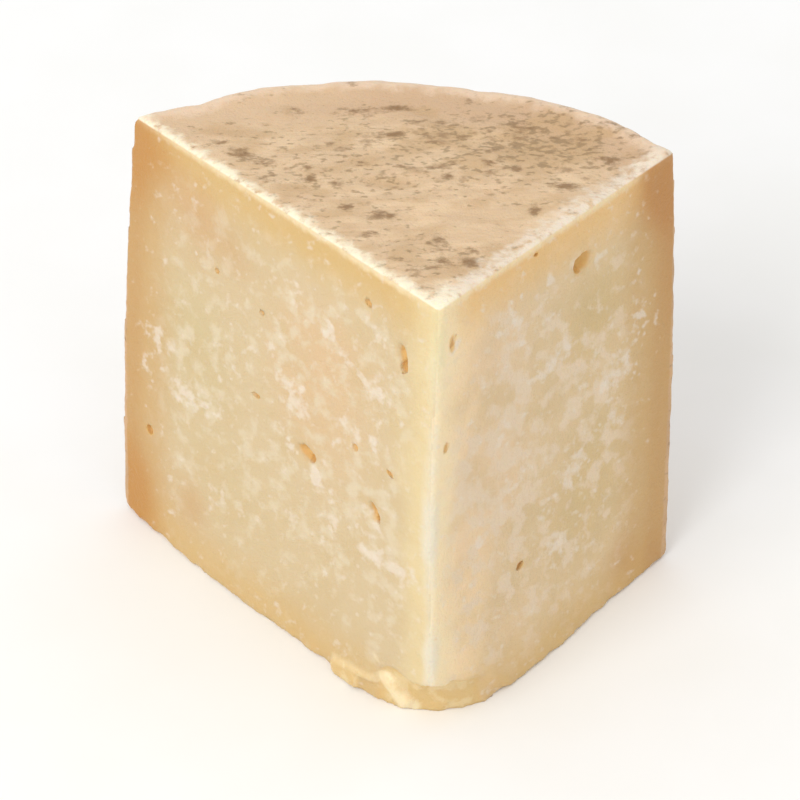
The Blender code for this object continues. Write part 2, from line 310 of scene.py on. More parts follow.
@dataclass(frozen=True)
class Patch:
    """A soft oval on a cut face: how far along it and how high, its half sizes, and its weight."""

    side: Side
    along: float
    height: float
    half_length: float
    half_height: float
    weight: float

    def weigh(self, along: np.ndarray, points: np.ndarray) -> np.ndarray:
        """Weight of the patch at each point.

        Args:
            along: Distance of each point along the patch's cut face.
            points: Positions in millimetres.

        Returns:
            The patch's weight, falling off as a bell curve.
        """
        across = (along - self.along) / self.half_length
        rise = (points[:, 2] - self.height) / self.half_height
        return self.weight * np.exp(-(across**2) - rise**2)


def on_face(kind: type, side: Side, *rows: tuple[float, ...]) -> tuple:
    """Makes patches or pits on one cut face.

    Args:
        kind: What each row makes.
        side: The cut face.
        rows: The sizes of each, in the order of its fields.

    Returns:
        One of the kind for each row.
    """
    return tuple(kind(side, *row) for row in rows)


# Flakes of white curd and tyrosine that lie together, most of all round the openings.
CURD_PATCHES = (
    *on_face(
        Patch,
        Side.LEFT,
        (97, 56, 5, 3.9, 0.8), (90, 58, 2.9, 4.5, 0.7), (100, 46, 2.1, 2, 1.3),
        (86, 46, 4.3, 3.9, 0.75), (78, 48, 7.1, 2.5, 0.75), (46, 97, 2.1, 2.5, 0.7),
        (56, 92, 1.4, 2.5, 0.6), (36, 94, 2.9, 3.1, 1.1), (48, 89, 2.1, 2.2, 0.6),
        (61, 73, 2.1, 1.4, 0.5), (54, 78, 2.1, 1.7, 0.5), (47, 71, 3.9, 4.5, 1),
        (43, 68, 2.5, 3.4, 0.9), (22, 87, 2.9, 2.2, 1.1), (17, 88, 5, 3.9, 0.7),
        (16, 100, 2.5, 1.7, 0.8), (19, 73, 2.9, 2, 1), (29, 70, 3.6, 3.4, 0.7), (38, 52, 2.9, 3.1, 1.5),
        (48, 54, 1.8, 2.8, 0.9), (21, 53, 1.8, 2.2, 1.3), (32, 43, 2.5, 2, 1.1),
        (27, 46, 2.1, 2.8, 0.6), (20, 42, 4.6, 2.8, 1.2), (12, 43, 3.6, 2.2, 1), (6, 45, 5.7, 2.2, 0.9),
        (18, 48, 4.3, 2.2, 0.7), (72, 26, 3.6, 2.2, 0.6), (49, 34, 2.1, 1.4, 0.8),
        (36, 37, 1.4, 3.4, 0.6), (37, 26, 3.6, 2.2, 0.5),
    ),
    *on_face(
        Patch,
        Side.RIGHT,
        (25, 102, 3.6, 3.9, 1), (28, 94, 2.1, 3.4, 0.7), (39, 94, 1.8, 2.2, 1), (38, 105, 2.1, 2, 0.9),
        (45, 85, 2.9, 3.4, 0.9), (41, 82, 3.2, 2.8, 0.8), (35, 82, 3.2, 2, 0.9),
        (52, 71, 2.1, 3.4, 0.8), (63, 66, 5.7, 3.9, 0.9), (68, 69, 2.1, 3.9, 0.8),
        (72, 76, 2.5, 4.5, 0.8), (70, 89, 2.1, 2.8, 0.6), (77, 80, 1.1, 2, 0.9), (78, 73, 1.1, 2, 1),
        (64, 54, 3.2, 4.5, 0.7), (6, 107, 2.5, 2.5, 1), (16, 91, 1.4, 1.7, 1.1),
        (25, 72, 3.2, 3.9, 0.7), (31, 60, 3.2, 3.1, 0.7), (26, 56, 2.1, 4.5, 0.6),
        (50, 48, 5, 4.5, 0.9), (40, 42, 3.6, 2.8, 0.7), (44, 31, 3.2, 3.9, 1.1),
        (17, 48, 1.8, 1.7, 0.9), (56, 101, 2.5, 2.8, 0.7), (51, 24, 2.5, 2, 0.7),
    ),
)

# Where the paste is rosier (more than 0) or greener (less than 0).
WARMTH_PATCHES = (
    *on_face(
        Patch,
        Side.LEFT,
        (40, 74, 22, 24, 0.9), (30, 92, 16, 10, 0.4), (84, 98, 16, 15, 0.8), (82, 66, 22, 24, -0.9),
        (66, 30, 26, 16, -0.4), (98, 113, 14, 7, 1),
    ),
    *on_face(
        Patch,
        Side.RIGHT,
        (22, 66, 15, 30, 0.8), (26, 20, 11, 12, 0.5), (6, 50, 9, 50, 0.6), (20, 100, 10, 10, 0.7),
        (56, 88, 16, 14, -0.8), (56, 40, 18, 26, -0.7), (38, 34, 9, 12, -0.3),
    ),
)

# Where the paste dried out and browned, next to the round rind and most of all in its corners.
TOAST_PATCHES = (
    *on_face(
        Patch,
        Side.LEFT,
        (105, 103, 11, 16, 0.95), (80, 98, 10, 13, 0.42), (94, 107, 9, 7, 0.35), (66, 95, 8, 8, 0.3),
        (108, 6, 13, 17, 1.2), (82, 17, 7, 9, 0.42),
    ),
    *on_face(
        Patch,
        Side.RIGHT,
        (82, 112, 12, 13, 1.7), (84, 88, 7, 26, 0.5), (82, 4, 16, 8, 0.3), (68, 12, 8, 9, 0.35),
    ),
)

# Where the paste is amber, in and round the openings: partly its own colour, partly a painted glow of
# light scattered through the paste into the hollows.
AMBER_PATCHES = (
    *on_face(
        Patch,
        Side.LEFT,
        (10.4, 100.6, 1.3, 2.6, 1.2), (41.6, 56.4, 2.4, 1.8, 1.2), (18.2, 54.2, 1.4, 2.4, 1.2),
        (98.2, 28.8, 1.5, 1.5, 1.6), (25.3, 68, 1.1, 1, 1.4), (59.2, 61.7, 1.7, 0.9, 1.1),
        (73.2, 87.3, 0.9, 0.9, 1.2), (57.5, 85, 0.9, 0.8, 1), (13.4, 68.4, 1.4, 0.9, 1.3),
        (22.2, 108, 1.2, 1, 1.3),
    ),
    *on_face(
        Patch,
        Side.RIGHT,
        (48, 103.4, 1.5, 2.6, 1.2), (50.6, 102.4, 2.2, 1.5, 1), (5, 107.8, 1.1, 2.4, 1.5),
        (4.6, 80.8, 1, 1.6, 1.3), (30.5, 32.5, 1.4, 1.3, 1.3), (32.5, 115, 0.9, 0.8, 1.2),
        (1.8, 30, 1, 1, 0.7),
    ),
)

# Where pale clouds of curd lie thick (more than 0) or hardly at all (less than 0).
MOTTLE_PATCHES = (
    *on_face(
        Patch,
        Side.LEFT,
        (18, 48, 14, 14, 0.6), (88, 50, 18, 16, 0.5), (40, 74, 14, 14, 0.2), (50, 14, 50, 12, -0.6),
    ),
    *on_face(
        Patch,
        Side.RIGHT,
        (26, 64, 22, 22, 0.9), (28, 94, 8, 10, 0.7), (30, 24, 20, 14, 0.5), (64, 66, 12, 14, 0.7),
        (12, 102, 7, 10, -0.9), (56, 92, 12, 8, -0.6),
    ),
)


@dataclass(frozen=True)
class Spot:
    """A soft oval on the top: its plan position, its half sizes along X and Y, and its weight."""

    x: float
    y: float
    half_x: float
    half_y: float
    weight: float

    def weigh(self, points: np.ndarray) -> np.ndarray:
        """Weight of the spot at each point, falling off as a bell curve.

        Args:
            points: Positions in millimetres.

        Returns:
            The spot's weight at each point.
        """
        across = (points[:, 0] - self.x) / self.half_x
        ahead = (points[:, 1] - self.y) / self.half_y
        return self.weight * np.exp(-(across**2) - ahead**2)


# Where brushing left more or less of the mould's blotches on the top.
BLOTCH_SPOTS = tuple(
    Spot(*row)
    for row in (
        (8, -30, 10, 8, 0.5), (-14, 6, 26, 12, 0.5), (32, 17, 20, 14, 1.1), (-50, 36, 14, 10, -1.2),
        (18, -12, 12, 5, -0.8), (54, 14, 8, 8, -0.6), (4, 41, 60, 8, -0.9), (5, 22, 16, 8, 0.45),
        (17, -21, 7, 5, -0.6),
    )
)

# The larger stains of mould, browned under the oil.
STAIN_SPOTS = tuple(
    Spot(*row)
    for row in (
        (35.9, -0.1, 4.9, 2.2, 1), (-0.5, 33.6, 3.2, 1.6, 1), (-9.5, 32.6, 6, 2.2, 0.7),
        (26.6, 23.4, 4.9, 7.5, 0.55), (-34, 13.8, 3, 2.2, 1), (-30, 11, 2.6, 2.4, 0.7),
        (-3.5, -12.4, 3.9, 2.2, 0.9), (9.2, 27, 3, 2.4, 0.6), (7, 20.8, 3.8, 3, 0.6),
        (8.3, -22.7, 2.2, 4.2, 0.9), (45.1, 11.7, 2.9, 1.7, 1), (15.2, -30.9, 2.4, 1.6, 1.2),
        (-10.9, -8.8, 2.1, 1.4, 1.15), (-0.7, 22, 2.9, 1.6, 1), (-5.3, -20.6, 2.6, 2, 0.9),
        (-13.6, 1.1, 2.1, 1.8, 0.9), (-38.9, 18.1, 2, 2, 0.9), (28.6, -10.3, 1.7, 2.6, 0.9),
        (-18.9, 2.5, 1.7, 1.7, 1.15), (9.7, -30.7, 2.1, 1.7, 0.95), (6.9, 7.5, 2.3, 1.5, 0.8),
        (25, 6.8, 2.1, 1.8, 0.7), (19, 9.8, 2, 1.6, 0.8), (-28.8, 2.6, 1.9, 1.7, 0.8),
        (39.5, 19.7, 2.4, 1.4, 0.75), (19.9, 15.4, 1.7, 1.5, 1), (-22.8, 32.4, 1.8, 1.8, 0.75),
        (3.5, 27, 1.6, 1.4, 1), (15.1, 36, 1.7, 1.9, 0.65), (-19.5, 7.4, 1.5, 1.6, 0.75),
        (15.8, -25.9, 1.5, 1.3, 1), (-34, 36.9, 2.6, 1.6, 0.6), (7.6, -33.2, 1.7, 1.5, 0.75),
        (10.6, 3.6, 1.3, 1.5, 1.1), (16.7, 28.8, 1.6, 1.5, 0.85), (3.3, -34.3, 1.6, 1.3, 0.8),
        (12.6, 8.9, 1.5, 1.6, 0.75), (0.4, 7.9, 1.4, 1.4, 0.95), (-8.4, 9.4, 1.2, 2, 0.8),
        (-10.8, 43.3, 1.4, 1.5, 1.1), (51.4, 20.4, 2.3, 1.5, 0.6), (13.5, 0.2, 1.3, 1.4, 0.75),
        (-14.9, 18, 1.2, 1.6, 0.7), (-19.1, -8.9, 1.4, 1.4, 0.85), (-4.9, 21.3, 1.3, 1.4, 0.8),
    )
)


@dataclass(frozen=True)
class Pit:
    """A small opening in a cut face: its place, its tilt in the face, its width, height and depth."""

    side: Side
    along: float
    height: float
    tilt: float
    width: float
    tall: float
    depth: float

    def cutter(self, wheel: Wheel, name: str) -> bpy.types.Object:
        """Models the solid that the opening takes away.

        Args:
            wheel: The wheel that the face cuts.
            name: The name of the new object.

        Returns:
            The cutter, settled at the origin.
        """
        spot, outward = CUTS[self.side].place(wheel, self.along, self.height)
        tilt = Matrix.Rotation(math.radians(self.tilt), 3, "Y")
        turn = outward.to_track_quat("Y", "Z").to_matrix() @ tilt
        bpy.ops.object.select_all(action="DESELECT")
        bpy.ops.mesh.primitive_ico_sphere_add(
            subdivisions=3, radius=MM, location=spot * MM, rotation=turn.to_euler()
        )
        lump = bpy.context.object
        lump.name = name
        lump.scale = (self.width / 2.0, self.depth, self.tall / 2.0)
        settle(lump)
        return lump


# Small openings, which the voxels would close, and the shelves inside the larger ones.
PITS = (
    *on_face(
        Pit,
        Side.LEFT,
        (73.2, 87.3, 0, 1.5, 1.3, 0.7), (57.5, 85, 20, 1.6, 1.1, 0.6), (13.4, 68.4, -30, 2.4, 1.2, 0.9),
        (59.2, 61.7, 10, 3.2, 1.3, 0.9), (25.3, 68, 0, 2, 1.8, 1), (22.2, 108, -20, 2.2, 1.6, 1),
        (40.4, 55.6, 0, 3, 2.4, 3.4), (41.6, 57, 0, 4.2, 3.4, 2.2), (17.7, 53.4, 35, 1.6, 3, 3.1),
        (10.2, 98.6, -10, 2.6, 3.4, 2.6), (98.2, 28.8, 0, 2.6, 2.6, 1.5),
    ),
    *on_face(
        Pit,
        Side.RIGHT,
        (5.4, 108.1, -35, 1.5, 3.2, 0.6), (4.7, 80.8, -30, 1.5, 2.4, 0.5), (48.4, 103, 20, 3, 3.4, 2.6),
        (30.5, 32.5, 20, 2.6, 2, 1.7), (32.5, 115, -20, 1.6, 1, 0.8),
    ),
)


@dataclass(frozen=True)
class Flake:
    """A flake of paste at the broken foot: its ends, depth, height and turn, and how pale it is.

    fading is where its paleness ends, in shares of its half size away from its axis, and bevel the
    width of its bevels as a share of its smaller side.
    """

    start: tuple[float, float, float]
    end: tuple[float, float, float]
    deep: float
    tall: float
    turn: float = 0.0
    pale: float = 0.0
    fading: Rise = Rise(0.8, 1.3)
    bevel: float = 0.3

    def weigh(self, points: np.ndarray) -> np.ndarray:
        """How much each point belongs to the flake's paleness.

        Args:
            points: Positions in millimetres.

        Returns:
            The flake's paleness near its axis, falling off to 0 outside it.
        """
        start, run = np.array(self.start), np.array(self.end) - np.array(self.start)
        share = np.clip(((points - start) @ run) / (run @ run), 0.0, 1.0)
        apart = np.linalg.norm(points - start - share[:, None] * run, axis=1)
        reach = 0.5 * max(self.deep, self.tall)
        return self.pale * (1.0 - self.fading.of(apart / reach))

    def build(self, name: str) -> bpy.types.Object:
        """Models the flake as a bevelled, drawn-out slab.

        Args:
            name: The name of the new object.

        Returns:
            The flake, settled at the origin.
        """
        start, end = Vector(self.start), Vector(self.end)
        run = end - start
        roll = Matrix.Rotation(math.radians(self.turn), 3, "X")
        turn = run.to_track_quat("X", "Z").to_matrix() @ roll
        bpy.ops.object.select_all(action="DESELECT")
        middle = (start + end) / 2.0 * MM
        bpy.ops.mesh.primitive_cube_add(size=MM, location=middle, rotation=turn.to_euler())
        slab = bpy.context.object
        slab.name = name
        slab.scale = (run.length, self.deep, self.tall)
        bpy.ops.object.transform_apply(location=False, rotation=False, scale=True)
        bpy.ops.object.mode_set(mode="EDIT")
        bpy.ops.mesh.select_all(action="SELECT")
        bpy.ops.mesh.bevel(offset=self.bevel * min(self.deep, self.tall) * MM, segments=2)
        bpy.ops.mesh.select_all(action="SELECT")
        bpy.ops.mesh.subdivide(number_cuts=2, smoothness=0.0)
        bpy.ops.object.mode_set(mode="OBJECT")
        settle(slab)
        return slab


# The broken foot, in the solid's frame: the pale flake left between the front and the left break, the
# ragged lip on the left of it, and a crumb that clings to the broken paste over them.
# Their paleness is partly a painted highlight, where the flakes' ridges catch the light.
FLAKES = (
    Flake((-0.8, -37.0, 8.2), (4.2, -39.0, 1.4), 3.2, 4.2, 20.0, 0.85),
    Flake((-12.9, -26.3, 2.1), (-7.0, -32.7, 2.4), 2.8, 4.6),
    Flake((-12.6, -26.8, 4.2), (-3.6, -36.2, 6.8), 2.4, 2.0, 20.0, 0.35),
    Flake((-6.4, -31.6, 2.6), (-1.6, -36.0, 2.8), 3.0, 5.6),
    Flake((-3.3, -36.5, 13.6), (-2.8, -37.0, 13.2), 1.6, 1.6, 0.0, 0.35),
)


# --------------------------------------------------------------------------- relief


class Zone(Enum):
    """Vertex groups that hold relief to one kind of surface."""

    PASTE = "paste_zone"
    RIND = "rind_zone"
    FOOT = "foot_zone"
    HEM = "hem_zone"


@dataclass(frozen=True)
class Relief:
    """One layer of uneven surface: its zone, the size of a grain, its depth and its finer octaves.

    The grain may be drawn out along X, as the cloth and the brush leave it. All layers are turned a
    little out of the frame's axes.
    """

    zone: Zone
    grain: float
    depth: float
    octaves: int
    stretch: float = 1.0
    turn: tuple[float, float, float] = (0.3, 0.2, 0.0)

    def press(self, piece: bpy.types.Object) -> None:
        """Displaces a piece along its normals.

        Args:
            piece: The object, with the zone's vertex group.
        """
        pattern = bpy.data.textures.new(f"{self.zone.value}_{self.grain}", "CLOUDS")
        pattern.noise_scale = self.grain * MM
        pattern.noise_depth = self.octaves
        bpy.ops.object.select_all(action="DESELECT")
        bpy.ops.object.empty_add(type="PLAIN_AXES", rotation=self.turn)
        guide = bpy.context.object
        guide.scale = (self.stretch, 1.0, 1.0)
        bpy.context.view_layer.update()
        apply_modifier(
            piece,
            "DISPLACE",
            texture=pattern,
            texture_coords="OBJECT",
            texture_coords_object=guide,
            vertex_group=self.zone.value,
            strength=self.depth * MM,
        )
        bpy.data.objects.remove(guide)
        bpy.data.textures.remove(pattern)


RELIEFS = (
    Relief(Zone.PASTE, 5.0, 0.34, 1),
    Relief(Zone.PASTE, 1.9, 0.26, 2),
    Relief(Zone.FOOT, 2.6, 0.6, 2),
    Relief(Zone.HEM, 4.5, 1.2, 2),
    Relief(Zone.RIND, 9.0, 0.7, 1),
    Relief(Zone.RIND, 6.0, 0.5, 1, stretch=1.6),
    Relief(Zone.RIND, 1.8, 0.3, 2, stretch=2.2),
)


# --------------------------------------------------------------------------- materials


class Bench:
    """The node tree of one material."""

    def __init__(self, name: str) -> None:
        """Makes an empty material of this name.

        Args:
            name: The material's name.
        """
        self.material = bpy.data.materials.new(name)
        self.material.use_nodes = True
        self.tree = self.material.node_tree
        self.tree.nodes.clear()
        self.made: dict[object, bpy.types.NodeSocket] = {}

    def add(
        self, kind: str, inputs: dict[str | int, object] | None = None, **settings: object
    ) -> bpy.types.Node:
        """Adds a node with its settings, values and links.

        Args:
            kind: Blender's name for the node's type.
            inputs: A value, or a socket to link from, for each input.
            settings: The node's own settings.

        Returns:
            The new node.
        """
        node = self.tree.nodes.new(kind)
        for name, value in settings.items():
            setattr(node, name, value)
        for key, value in (inputs or {}).items():
            if isinstance(value, bpy.types.NodeSocket):
                self.tree.links.new(value, node.inputs[key])
            else:
                node.inputs[key].default_value = value
        return node

    def read(self, what: Map) -> bpy.types.NodeSocket:
        """The value that the mesh stores under this name."""
        return self.add("ShaderNodeAttribute", attribute_name=what.value).outputs["Fac"]

    def socket(self, mask: object) -> bpy.types.NodeSocket:
        """The socket of a mask, made once for all the layers that use it.

        Args:
            mask: A pattern, flecks or a band, or the socket of a mask already.

        Returns:
            The socket.
        """
        if isinstance(mask, bpy.types.NodeSocket):
            return mask
        if mask not in self.made:
            self.made[mask] = mask.mask(self)
        return self.made[mask]


@dataclass(frozen=True)
class Pattern:
    """A noise pattern through the whole chunk, drawn at its real size.

    size is one grain in millimetres along its own axes, and lean turns it about X, in degrees. The noise
    fades in from low to high, up to strength. A stored map may raise the noise, by gain times the map.
    """

    size: tuple[float, float, float]
    low: float
    high: float
    strength: float = 1.0
    lean: float = 0.0
    detail: float = 2.0
    roughness: float = 0.5
    shift: float = 0.0
    follows: Map | None = None
    gain: float = 0.0

    def noise(self, bench: Bench) -> bpy.types.NodeSocket:
        """The bare noise, from 0 to 1.

        Args:
            bench: The material's tree.

        Returns:
            The socket of the noise.
        """
        grain = bench.add(
            "ShaderNodeMapping",
            {
                "Vector": bench.add("ShaderNodeTexCoord").outputs["Object"],
                "Location": Vector((self.shift, self.shift, self.shift)) * MM,
                "Rotation": (math.radians(self.lean), 0.0, 0.0),
                "Scale": Vector(self.size) * MM,
            },
            vector_type="TEXTURE",
        )
        return bench.add(
            "ShaderNodeTexNoise",
            {
                "Vector": grain.outputs[0],
                "Scale": 1.0,
                "Detail": self.detail,
                "Roughness": self.roughness,
            },
        ).outputs[0]

    def mask(self, bench: Bench) -> bpy.types.NodeSocket:
        """The pattern as a mask from 0 to strength.

        Args:
            bench: The material's tree.

        Returns:
            The socket of the mask.
        """
        value = self.noise(bench)
        if self.follows:
            raised = {0: bench.read(self.follows), 1: self.gain, 2: value}
            value = bench.add("ShaderNodeMath", raised, operation="MULTIPLY_ADD").outputs[0]
        return bench.add(
            "ShaderNodeMapRange",
            {"Value": value, "From Min": self.low, "From Max": self.high, "To Max": self.strength},
            interpolation_type="SMOOTHSTEP",
        ).outputs[0]


@dataclass(frozen=True)
class Flecks:
    """Separate flecks, at most one to a cell, each of a size of its own.

    cell is a cell in millimetres along its own axes, and lean turns it about X, in degrees. rare is the
    share of cells that stay empty, reach the largest fleck's radius as a share of its cell, and ragged
    how far in millimetres a noise moves a fleck's outline. A stored map may raise each cell's chance of
    a fleck, by gain times the map.
    """

    cell: tuple[float, float, float]
    rare: float
    reach: float
    strength: float = 1.0
    lean: float = 0.0
    ragged: float = 0.6
    softness: float = 0.10
    follows: Map | None = None
    gain: float = 0.0

    def mask(self, bench: Bench) -> bpy.types.NodeSocket:
        """The flecks as a mask from 0 to strength.

        Args:
            bench: The material's tree.

        Returns:
            The socket of the mask.
        """
        place = bench.add("ShaderNodeTexCoord").outputs["Object"]
        waves = {"Vector": place, "Scale": 1.0 / (RIPPLE_GRAIN * MM), "Detail": 1.0}
        ripple = bench.add("ShaderNodeTexNoise", waves).outputs[1]
        push = {0: ripple, 1: (RIPPLE_SPAN * self.ragged * MM,) * 3, 2: place}
        cells = bench.add(
            "ShaderNodeMapping",
            {
                "Vector": bench.add("ShaderNodeVectorMath", push, operation="MULTIPLY_ADD").outputs[0],
                "Rotation": (math.radians(self.lean), 0.0, 0.0),
                "Scale": Vector(self.cell) * MM,
            },
            vector_type="TEXTURE",
        )
        cell = bench.add("ShaderNodeTexVoronoi", {"Vector": cells.outputs[0], "Scale": 1.0})
        chance = bench.add("ShaderNodeSeparateColor", {0: cell.outputs["Color"]}).outputs[0]
        if self.follows:
            raised = {0: bench.read(self.follows), 1: self.gain, 2: chance}
            chance = bench.add("ShaderNodeMath", raised, operation="MULTIPLY_ADD").outputs[0]
        radius = bench.add(
            "ShaderNodeMapRange",
            {"Value": chance, "From Min": self.rare, "From Max": 1.0, "To Max": self.reach},
        ).outputs[0]
        within = {0: radius, 1: cell.outputs["Distance"]}
        depth = bench.add("ShaderNodeMath", within, operation="SUBTRACT")
        return bench.add(
            "ShaderNodeMapRange",
            {"Value": depth.outputs[0], "From Max": self.softness, "To Max": self.strength},
            interpolation_type="SMOOTHSTEP",
        ).outputs[0]


class Fade(Enum):
    """How a band fades between its two ends. The value is Blender's name for it."""

    SOFT = "SMOOTHSTEP"
    EVEN = "LINEAR"


@dataclass(frozen=True)
class Band:
    """A zone that follows a stored map: full at one value of the map and gone at another.

    waver is how far, in millimetres, a noise of the grain's size moves the zone's edge to and fro. Where
    a wave is given, that pattern moves the edge instead, one way only.
    """

    what: Map
    full: float
    gone: float
    strength: float = 1.0
    waver: float = 0.0
    grain: float = 6.0
    wave: Pattern | None = None
    fade: Fade = Fade.SOFT

    def mask(self, bench: Bench) -> bpy.types.NodeSocket:
        """The zone as a mask from 0 to strength.

        Args:
            bench: The material's tree.

        Returns:
            The socket of the mask.
        """
        value = bench.read(self.what)
        if self.wave:
            push = {0: bench.socket(self.wave), 1: self.waver, 2: value}
            value = bench.add("ShaderNodeMath", push, operation="MULTIPLY_ADD").outputs[0]
        elif self.waver:
            noise = Pattern((self.grain,) * 3, 0.0, 1.0, detail=3.0).noise(bench)
            sway = bench.add("ShaderNodeMath", {0: noise, 1: 0.5}, operation="SUBTRACT").outputs[0]
            push = {0: sway, 1: NOISE_SPAN * self.waver, 2: value}
            value = bench.add("ShaderNodeMath", push, operation="MULTIPLY_ADD").outputs[0]
        return bench.add(
            "ShaderNodeMapRange",
            {
                "Value": value,
                "From Min": self.full,
                "From Max": self.gone,
                "To Min": self.strength,
                "To Max": 0.0,
            },
            interpolation_type=self.fade.value,
        ).outputs[0]


def overlap(bench: Bench, first: object, second: object) -> bpy.types.NodeSocket:
    """Where two masks overlap.

    Args:
        bench: The material's tree.
        first: A mask, or the socket of one.
        second: The other one.

    Returns:
        The socket of their product.
    """
    both = {0: bench.socket(first), 1: bench.socket(second)}
    return bench.add("ShaderNodeMath", both, operation="MULTIPLY").outputs[0]


def layered(bench: Bench, ground: object, layers: list[tuple[object, object]]) -> object:
    """Lays colours over each other.

    Args:
        bench: The material's tree.
        ground: The lowest colour, as "#RRGGBB" or a socket.
        layers: Masks with the colour that each lets through, from the lowest up.

    Returns:
        The socket of the topmost mix.
    """

    def paint(colour: object) -> object:
        """The colour in linear light, or its socket."""
        return linear(colour) if isinstance(colour, str) else colour

    ground = paint(ground)
    for mask, colour in layers:
        mix = {FACTOR: bench.socket(mask), BELOW: ground, ABOVE: paint(colour)}
        ground = bench.add("ShaderNodeMix", mix, data_type="RGBA").outputs[MIXED]
    return ground


# What draws the edge of the pale zones beside the front edge in and out.
EDGE_WAVE = Pattern((8.0, 8.0, 12.0), 0.35, 0.65, detail=4.0, shift=61.0)


@dataclass(frozen=True)
class PasteFinish:
    """Hard sheep milk paste, aged for months and parted by a wire.

    It is pale and waxy at heart, and golden where it dried out under the rind. Milled curd shows as
    clouds, and white flecks of curd and tyrosine are drawn out the way that the wheel was pressed. The
    right cut face has colours of its own, because it dried a little more.
    """

    heart: str = "#D0B991"
    rosy: str = "#D6B58B"
    green: str = "#C9B586"
    right_heart: str = "#DABF95"
    right_rosy: str = "#E5C6A0"
    right_green: str = "#CAAD72"
    right_gold: str = "#F8DAAA"
    right_top: str = "#E5BA79"
    right_corner: str = "#BB8344"
    wiped: str = "#EBD9B2"
    cloud: str = "#DBCBAD"
    right_cloud: str = "#E1CBAE"
    marble: str = "#CBB183"
    gold: str = "#D1AC6B"
    shade: str = "#C7A26B"
    rim: str = "#C39A62"
    corner: str = "#BF8843"
    # Painted glow: paler, yellower paste by the front edge on each face, standing in for light shining
    # through the thin paste.
    painted_glow: str = "#E0CA98"
    right_painted_glow: str = "#F3DFB4"
    edge: str = "#E0D7C1"
    high_edge: str = "#DFD1A5"
    fleck: str = "#E4D6C4"
    # The openings' amber, partly the paste's own, partly a painted glow of light scattered into the
    # hollows.
    opening: str = "#DCAF67"
    # The broken foot's gold is partly painted shade of the self-shadowed break, and the flake's pale
    # partly a painted highlight on its ridges.
    foot: str = "#DABA80"
    chip: str = "#E6CFA0"
    flake: str = "#F6E5BE"

    # The curd, in and between the clouds.
    clouds: Pattern = Pattern(
        (4.2, 4.2, 6.0), 0.47, 0.70, 0.7, CURD_LEAN, detail=3.0, shift=11.0, follows=Map.MOTTLE, gain=0.10
    )
    right_clouds: Pattern = Pattern(
        (4.2, 4.2, 6.6), 0.49, 0.66, 0.8, CURD_LEAN, detail=4.0, shift=29.0, follows=Map.MOTTLE, gain=0.10
    )
    marbling: Pattern = Pattern((12.0, 12.0, 14.0), 0.42, 0.7, 0.45, CURD_LEAN, detail=3.0, shift=37.0)
    flakes: Pattern = Pattern(
        (2.4, 2.4, 4.2), 0.58, 0.84, 0.65, CURD_LEAN, shift=5.0, follows=Map.CURD, gain=0.27
    )
    flecks: Flecks = Flecks((3.2, 3.2, 5.6), 0.90, 0.44, 0.6, CURD_LEAN, 0.7, 0.34, Map.CURD, 0.27)
    dots: Flecks = Flecks((1.9, 1.9, 3.2), 0.90, 0.42, 0.5, CURD_LEAN, 0.35, 0.30, Map.CURD, 0.27)
    chips: Pattern = Pattern((3.0, 3.0, 4.0), 0.46, 0.62, 0.7, detail=4.0, shift=71.0)

    # The two faces.
    on_right: Band = Band(Map.FRONT, 3.0, -1.0)
    right_only: Band = Band(Map.FRONT, 0.5, -0.5)
    left_only: Band = Band(Map.FRONT, -0.5, 0.5)

    # Where the paste is warmer or greener, where it dried out under the rind and in the corners, and
    # where the wire wiped it pale along the top.
    rosy_zone: Band = Band(Map.WARMTH, 1.2, 0.0)
    green_zone: Band = Band(Map.WARMTH, -1.4, 0.0)
    shade_zone: Band = Band(Map.SIDE, 7.0, 22.0, 0.9, 1.5)
    top_zone: Band = Band(Map.TOP, 2.0, 16.0, 0.85, 1.5)
    base_zone: Band = Band(Map.BASE, 2.0, 18.0, 0.65, 1.5)
    rim_zone: Band = Band(Map.SIDE, 3.0, 9.0, 0.95, 0.8)
    wiped_zone: Band = Band(Map.TOP, 0.5, 2.2, 0.7, 0.5, 2.6)
    corner_zone: Band = Band(Map.TOAST, 1.0, 0.0, 0.9)

    # The front edge, bruised pale by the wire, and the gold beside it, with a painted glow by the edge
    # where light would shine through the thin paste.
    gold_zone: Band = Band(Map.EDGE, 9.0, 25.0, 0.9, 2.6, wave=EDGE_WAVE)
    painted_glow_zone: Band = Band(Map.EDGE, 3.0, 16.0, 0.85, 2.6, wave=EDGE_WAVE)
    right_painted_glow_zone: Band = Band(Map.EDGE, 2.0, 13.0, 0.9, 2.6, wave=EDGE_WAVE)
    stripe: Band = Band(Map.EDGE, 0.8, 4.4, 0.9, 1.6, wave=EDGE_WAVE)
    high_stripe: Band = Band(Map.TOP, 6.0, 36.0)

    # The openings, amber and deepening inside them as a painted glow, and the broken foot, golden partly
    # as painted shade.
    amber: Band = Band(Map.AMBER, 1.0, 0.35, 0.8)
    hollow: Band = Band(Map.HOLLOW, 1.3, 0.5, 0.9)
    broken: Band = Band(Map.FOOT, 1.0, 0.0, fade=Fade.EVEN)
    # Painted shade, in part: the golden ground of the self-shadowed break.
    broken_ground_with_painted_shade: Band = Band(Map.FOOT, 1.0, 0.0, 0.9, fade=Fade.EVEN)
    unbroken: Band = Band(Map.FOOT, 0.0, 1.0, fade=Fade.EVEN)

    def colour(self, bench: Bench) -> object:
        """Builds the colour of the paste.

        Args:
            bench: The material's tree.

        Returns:
            A colour socket.
        """

        def faces(left: str, right: str) -> object:
            """The left face's colour, turning into the right face's."""
            return layered(bench, left, [(self.on_right, right)])

